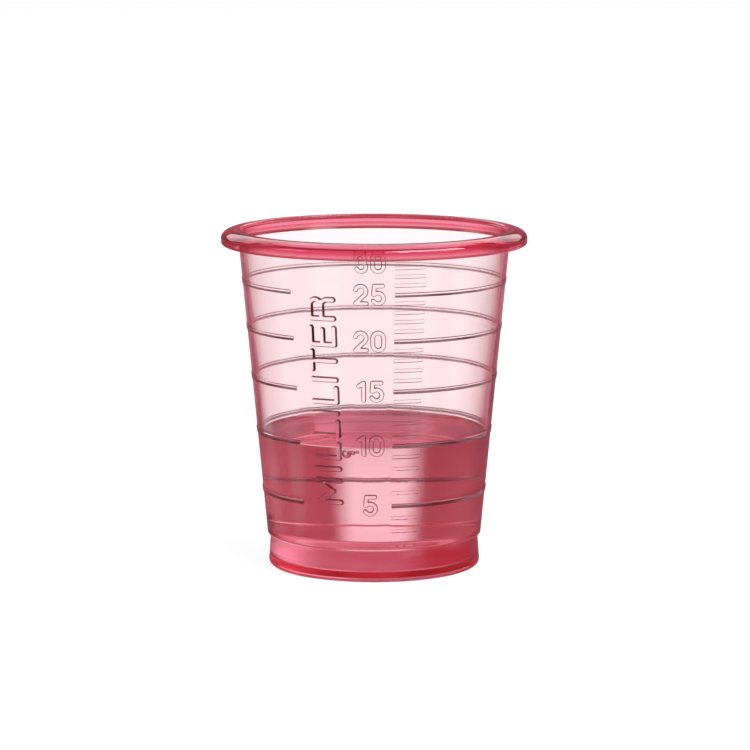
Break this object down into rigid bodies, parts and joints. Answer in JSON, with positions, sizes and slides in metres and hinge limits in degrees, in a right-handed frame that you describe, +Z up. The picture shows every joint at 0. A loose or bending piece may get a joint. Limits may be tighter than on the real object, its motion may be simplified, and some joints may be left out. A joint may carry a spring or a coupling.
{
  "type": "medicine cup",
  "caption": "Small tinted see-through medicine cup with stepped foot, domed rim and raised millilitre scale, part filled with liquid.",
  "frame": {"origin": "centre of the foot ring on the surface that the cup stands on", "axes": "+Z up along the cup's axis; the front of the scale, where the numbers stand, faces -Y"},
  "size_m": [0.0396, 0.0396, 0.044],
  "materials": {
    "tinted_plastic": "thin see-through red tinted polypropylene, smooth and glossy, slightly hazy",
    "liquid": "clear red liquid"
  },
  "bodies": {
    "root": {"cup": "tinted_plastic", "medicine_liquid": "liquid"}
  },
  "joints": []
}
